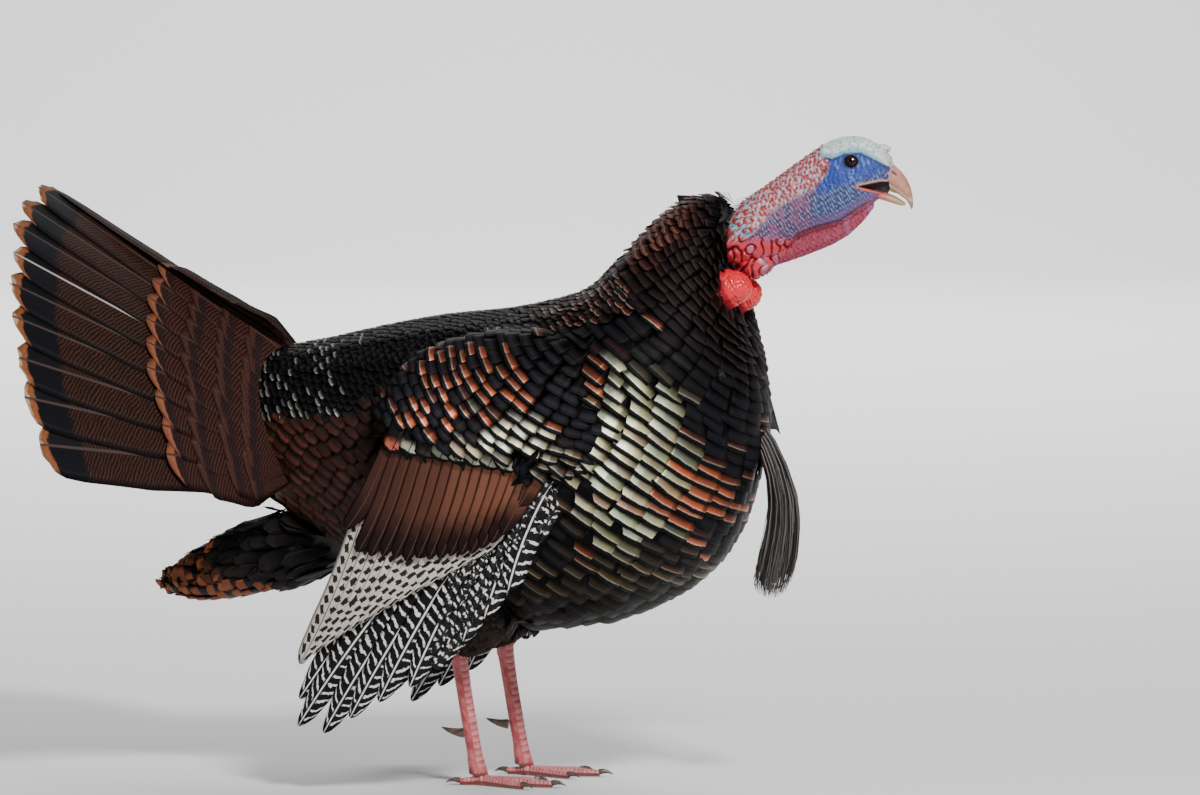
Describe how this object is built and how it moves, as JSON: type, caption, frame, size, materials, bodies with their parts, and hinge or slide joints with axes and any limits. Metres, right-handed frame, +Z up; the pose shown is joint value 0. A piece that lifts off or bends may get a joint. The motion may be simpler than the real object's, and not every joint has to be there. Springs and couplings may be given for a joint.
{
  "type": "wild turkey",
  "caption": "Life-size still model of a grown tom wild turkey, standing with half-raised fanned tail, drooped wings, bare wattled neck and hanging beard.",
  "frame": {"origin": "on the floor under the middle of the bird's bounding box", "axes": "+X forward towards the bill, +Y to the bird's left, +Z up"},
  "size_m": [1.011, 0.6702, 0.726],
  "materials": {
    "plumage": "iridescent black-edged feathers",
    "bronze_plumage": "bronze-brown feathers",
    "barred_plumage": "barred flight feathers",
    "bare_skin": "wrinkled blue and pink skin",
    "wattle_skin": "glossy red skin",
    "bill_horn": "satin horn",
    "tongue_skin": "moist skin",
    "eye_glass": "glossy dark brown eye",
    "beard_bristle": "coarse black bristles",
    "leg_scale": "scaled pinkish-red skin",
    "claw_horn": "dark horn"
  },
  "bodies": {
    "root": {"beard": "beard_bristle", "bill_lower": "bill_horn", "bill_upper": "bill_horn", "caruncles": "wattle_skin", "claw_hind_L": "claw_horn", "claw_hind_R": "claw_horn", "claw_inner_L": "claw_horn", "claw_inner_R": "claw_horn", "claw_middle_L": "claw_horn", "claw_middle_R": "claw_horn", "claw_outer_L": "claw_horn", "claw_outer_R": "claw_horn", "dewlap": "wattle_skin", "eye_L": "eye_glass", "eye_R": "eye_glass", "foot_L": "leg_scale", "foot_R": "leg_scale", "head": "bare_skin", "neck_bare": "bare_skin", "neck_ruff": "plumage", "shank_L": "leg_scale", "shank_R": "leg_scale", "snood": "wattle_skin", "spur_L": "claw_horn", "spur_R": "claw_horn", "tail_L": "barred_plumage", "tail_R": "barred_plumage", "tail_coverts_L": "bronze_plumage", "tail_coverts_R": "bronze_plumage", "thigh_L": "plumage", "thigh_R": "plumage", "tongue": "tongue_skin", "trunk": "plumage", "under_tail": "plumage", "wattle_L": "wattle_skin", "wattle_R": "wattle_skin", "wing_bronze_L": "bronze_plumage", "wing_bronze_R": "bronze_plumage", "wing_primaries_L": "barred_plumage", "wing_primaries_R": "barred_plumage", "wing_secondaries_L": "barred_plumage", "wing_secondaries_R": "barred_plumage", "wing_shoulder_L": "plumage", "wing_shoulder_R": "plumage"}
  },
  "joints": []
}
